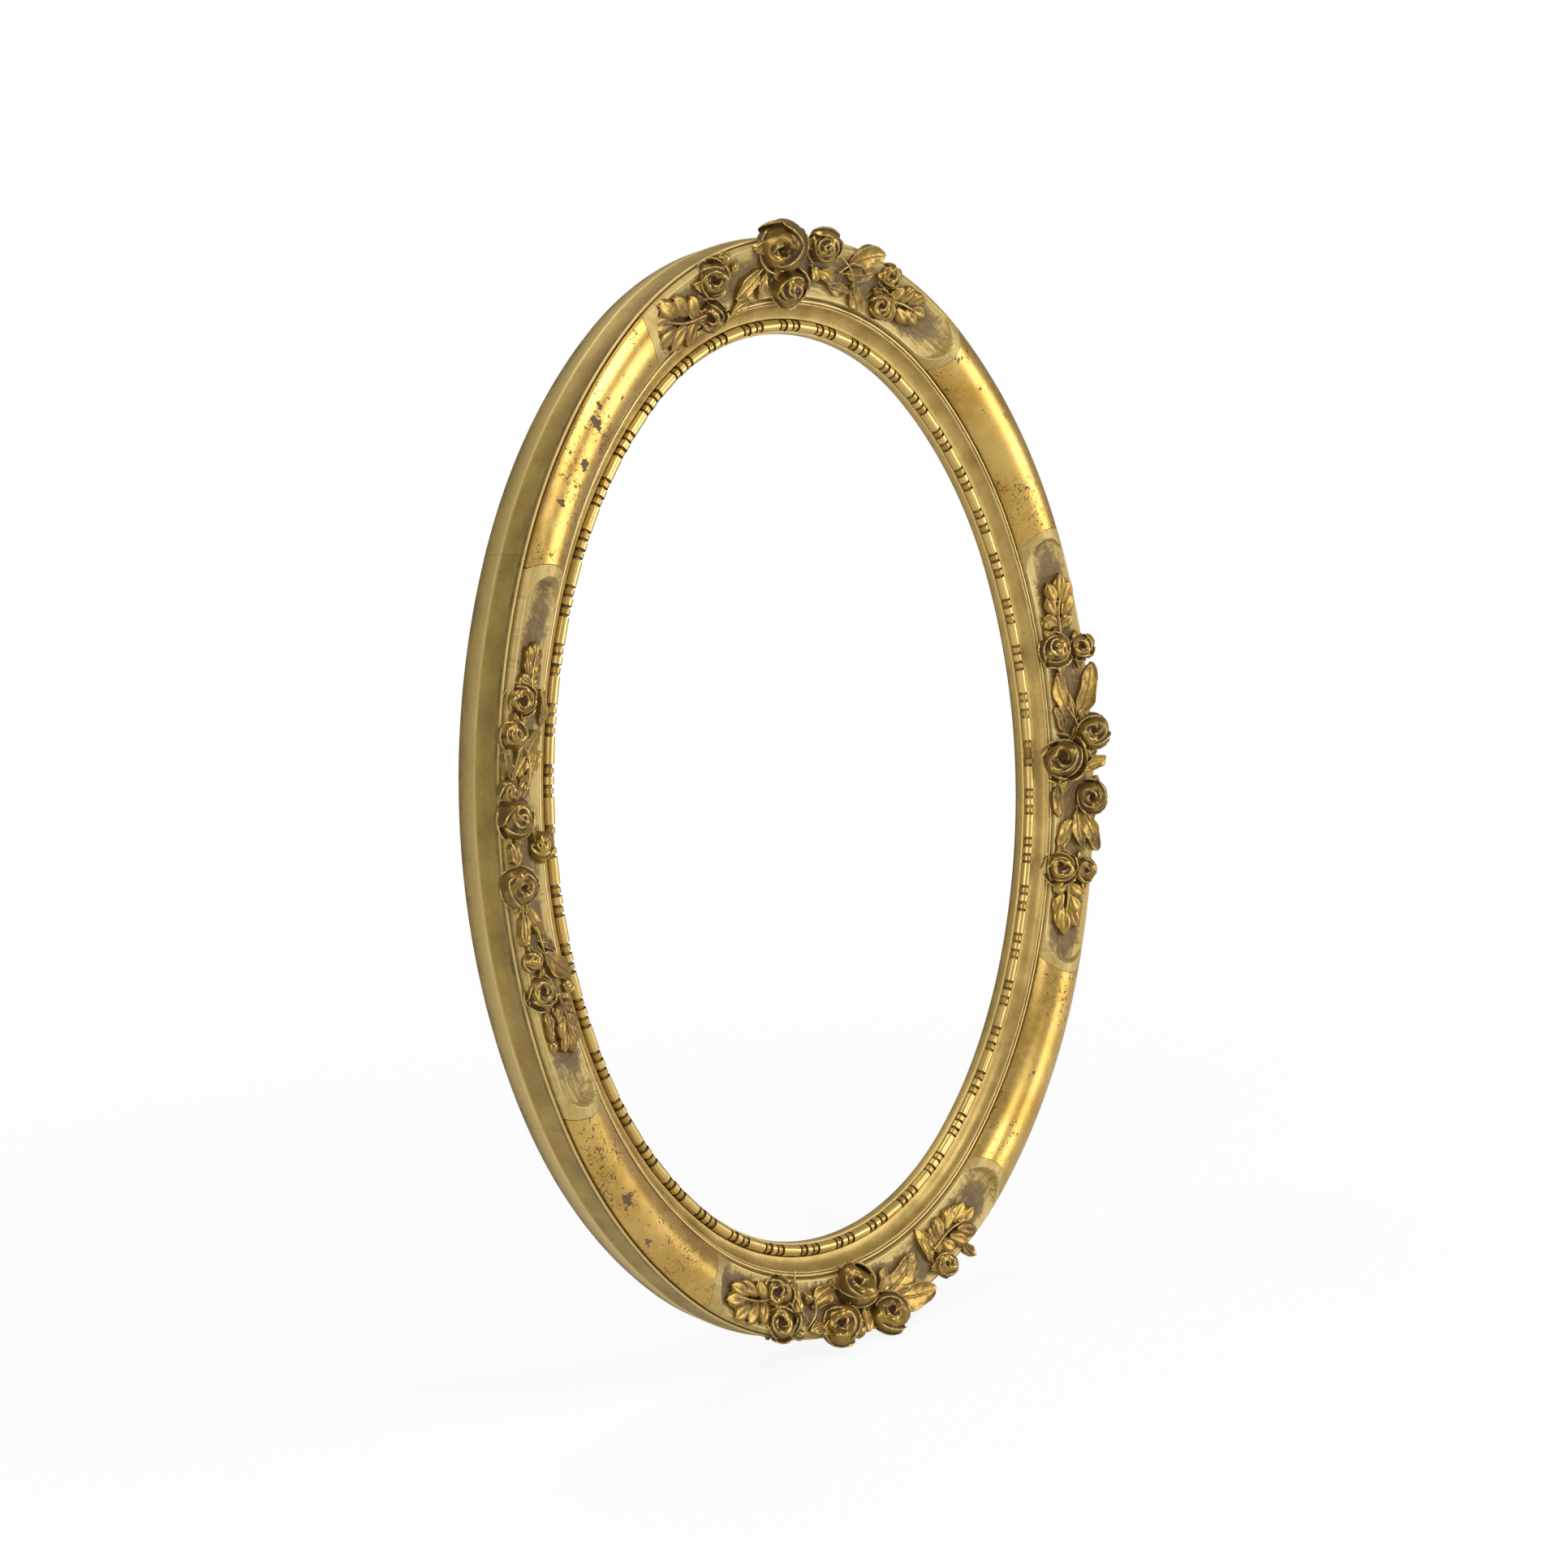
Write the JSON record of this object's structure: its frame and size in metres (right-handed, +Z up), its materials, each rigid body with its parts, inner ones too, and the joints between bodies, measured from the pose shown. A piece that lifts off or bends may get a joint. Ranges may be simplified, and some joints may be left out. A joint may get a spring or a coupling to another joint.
{
  "type": "oval picture frame",
  "caption": "Oval gilt picture frame with a rounded moulding, hollowed panels of applied roses and leaves, a bead edge, a hanging ring and turn buttons on the back.",
  "frame": {"origin": "centre of the oval in the plane of the frame's back face", "axes": "X to the right seen from the front, Y into the wall, Z up; the front faces -Y"},
  "size_m": [0.4945, 0.0536, 0.6076],
  "materials": {
    "old_gilt_wood": "old gilding over wood, worn and dusty",
    "dowel_wood": "plain",
    "burnished_gold": "burnished gold leaf on gesso",
    "matte_gold": "matte gold leaf with dark patina",
    "bead_gold": "matte gold leaf",
    "flower_gold": "matte gold leaf on moulded composition",
    "hanger_brass": "aged",
    "turn_button_brass": "aged",
    "screw_steel": "dull"
  },
  "bodies": {
    "frame": {"bead_strip_lower_left": "bead_gold", "bead_strip_lower_right": "bead_gold", "bead_strip_upper_left": "bead_gold", "bead_strip_upper_right": "bead_gold", "bottom_leaves": "flower_gold", "bottom_roses": "flower_gold", "bottom_sprigs": "flower_gold", "burnished_length_lower_left": "burnished_gold", "burnished_length_lower_right": "burnished_gold", "burnished_length_upper_left": "burnished_gold", "burnished_length_upper_right": "burnished_gold", "carcass_bottom": "old_gilt_wood", "carcass_dowels": "dowel_wood", "carcass_left": "old_gilt_wood", "carcass_lower_left": "old_gilt_wood", "carcass_lower_right": "old_gilt_wood", "carcass_right": "old_gilt_wood", "carcass_top": "old_gilt_wood", "carcass_upper_left": "old_gilt_wood", "carcass_upper_right": "old_gilt_wood", "cartouche_bottom": "matte_gold", "cartouche_left": "matte_gold", "cartouche_right": "matte_gold", "cartouche_top": "matte_gold", "hanger_screws": "screw_steel", "hanger_strap": "hanger_brass", "left_leaves": "flower_gold", "left_roses": "flower_gold", "left_sprigs": "flower_gold", "right_leaves": "flower_gold", "right_roses": "flower_gold", "right_sprigs": "flower_gold", "sight_moulding_lower_left": "matte_gold", "sight_moulding_lower_right": "matte_gold", "sight_moulding_upper_left": "matte_gold", "sight_moulding_upper_right": "matte_gold", "top_leaves": "flower_gold", "top_roses": "flower_gold", "top_sprigs": "flower_gold", "turn_button_screws": "screw_steel"},
    "hanging_ring": {"hanging_ring": "hanger_brass"},
    "turn_button_upper_right": {"turn_button_upper_right": "turn_button_brass"},
    "turn_button_lower_right": {"turn_button_lower_right": "turn_button_brass"},
    "turn_button_lower_left": {"turn_button_lower_left": "turn_button_brass"},
    "turn_button_upper_left": {"turn_button_upper_left": "turn_button_brass"}
  },
  "joints": [
    {"name": "hanging_ring_hinge", "type": "hinge", "parent": "frame", "child": "hanging_ring", "pos_m": [0, 0.0023, 0.278], "axis": [1, 0, 0], "range_deg": [0, 180]},
    {"name": "turn_button_upper_right_pivot", "type": "hinge", "parent": "frame", "child": "turn_button_upper_right", "pos_m": [0.15667, 0.0007, 0.18244], "axis": [0, 1, 0], "continuous": true},
    {"name": "turn_button_lower_right_pivot", "type": "hinge", "parent": "frame", "child": "turn_button_lower_right", "pos_m": [0.15667, 0.0007, -0.18244], "axis": [0, 1, 0], "continuous": true},
    {"name": "turn_button_lower_left_pivot", "type": "hinge", "parent": "frame", "child": "turn_button_lower_left", "pos_m": [-0.15667, 0.0007, -0.18244], "axis": [0, 1, 0], "continuous": true},
    {"name": "turn_button_upper_left_pivot", "type": "hinge", "parent": "frame", "child": "turn_button_upper_left", "pos_m": [-0.15667, 0.0007, 0.18244], "axis": [0, 1, 0], "continuous": true}
  ]
}
